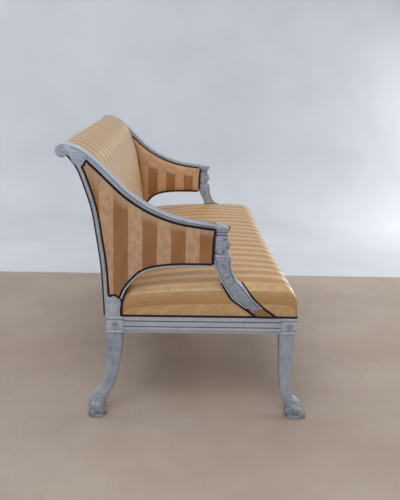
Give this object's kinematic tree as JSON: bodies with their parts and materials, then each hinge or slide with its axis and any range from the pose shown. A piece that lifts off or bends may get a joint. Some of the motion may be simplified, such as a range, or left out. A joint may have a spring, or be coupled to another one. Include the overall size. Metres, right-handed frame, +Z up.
{
  "type": "upholstered settee",
  "caption": "Upholstered settee with scrolled back, open swept arms, carved supports and sabre legs, in striped silk on a grey painted frame.",
  "frame": {"origin": "on the floor, under the middle of the whole outline", "axes": "+X along the length, towards the sitter's left; -Y is the front, where the sitter's legs hang; +Z up"},
  "size_m": [1.64, 0.8182, 0.896],
  "materials": {
    "painted_wood": "worn grey-blue paint on carved wood",
    "frame_wood": "bare planed pine inside the frame",
    "silk": "ribbed silk with wide golden brown stripes",
    "gimp": "narrow woven braid, near black",
    "linen": "jute webbing and hessian, undyed",
    "horsehair": "curled hair stuffing under linen",
    "screw_steel": "plain steel"
  },
  "bodies": {
    "root": {"front_leg_right": "painted_wood", "front_leg_left": "painted_wood", "rear_post_right": "painted_wood", "rear_post_left": "painted_wood", "front_rail": "painted_wood", "back_rail": "painted_wood", "side_rail_right": "painted_wood", "side_rail_left": "painted_wood", "arm_rail_right": "painted_wood", "arm_rail_left": "painted_wood", "arm_support_right": "painted_wood", "arm_support_left": "painted_wood", "arch_rail_right": "painted_wood", "arch_rail_left": "painted_wood", "crest_rail": "frame_wood", "lower_back_rail": "frame_wood", "back_muntins": "frame_wood", "seat_braces": "frame_wood", "corner_braces": "frame_wood", "brace_screws": "screw_steel", "corner_rosettes": "painted_wood", "seat_webbing_cross": "linen", "seat_webbing_long": "linen", "seat_hessian": "linen", "seat_stuffing": "horsehair", "seat_cover": "silk", "back_webbing": "linen", "back_hessian": "linen", "back_stuffing": "horsehair", "back_cover": "silk", "outside_back_panel": "silk", "arm_stuffing_right": "horsehair", "arm_stuffing_left": "horsehair", "outer_arm_panel_right": "silk", "outer_arm_panel_left": "silk", "inner_arm_pad_right": "silk", "inner_arm_pad_left": "silk", "outer_arm_gimp_right": "gimp", "outer_arm_gimp_left": "gimp", "inner_arm_gimp_right": "gimp", "inner_arm_gimp_left": "gimp", "support_gimp_right": "gimp", "support_gimp_left": "gimp", "support_patch_right": "silk", "support_patch_left": "silk", "seat_gimp": "gimp", "outside_back_gimp": "gimp"}
  },
  "joints": []
}
